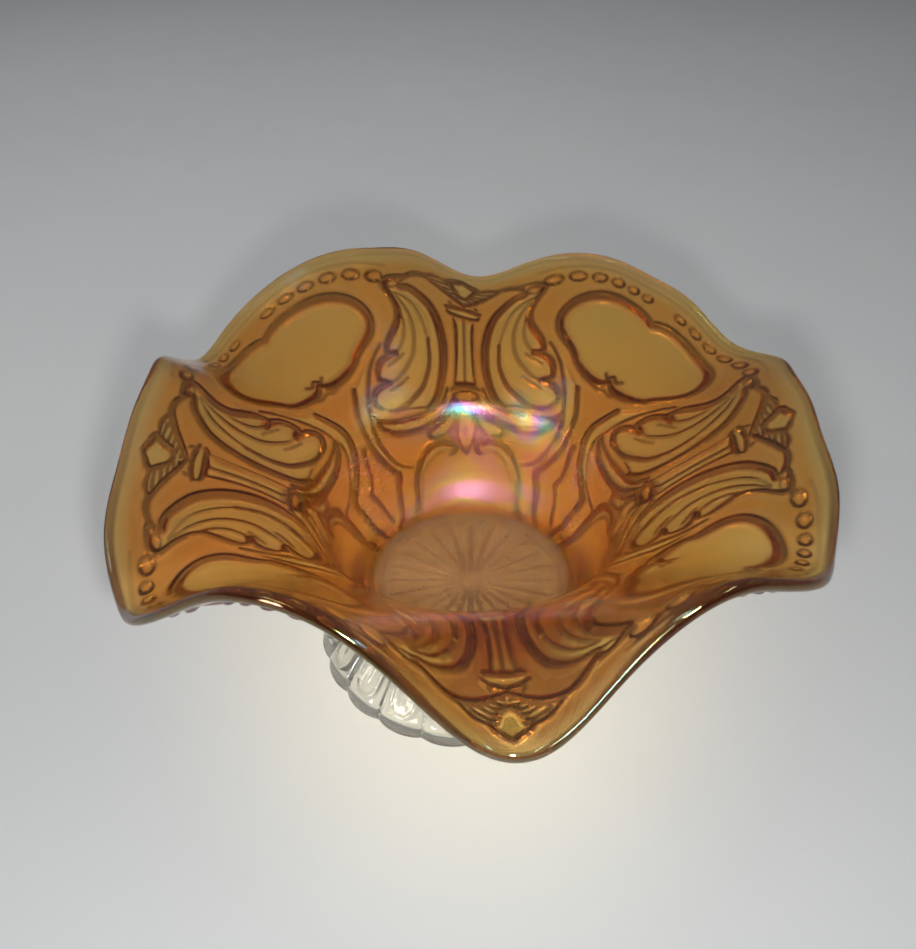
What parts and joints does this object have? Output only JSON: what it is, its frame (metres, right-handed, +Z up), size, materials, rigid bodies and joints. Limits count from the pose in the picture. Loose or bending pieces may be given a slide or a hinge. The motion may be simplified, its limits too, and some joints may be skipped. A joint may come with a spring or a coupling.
{
  "type": "footed glass bowl",
  "caption": "Ruffled-rim marigold carnival glass bowl with pressed scroll relief outside, standing on a clear hollow dome foot with a petalled edge.",
  "frame": {"origin": "on the surface the bowl stands on, under the middle of the ruffled outline's bounding box", "axes": "+Z up out of the mouth; -Y is the side with the deepest front crimp, +X to its right"},
  "size_m": [0.2023, 0.214, 0.1059],
  "materials": {
    "marigold_glass": "iridised amber-orange pressed glass, glossy, smooth inside and in relief outside",
    "clear_glass": "colourless pressed glass, glossy"
  },
  "bodies": {
    "root": {"bowl": "marigold_glass", "foot": "clear_glass"}
  },
  "joints": []
}
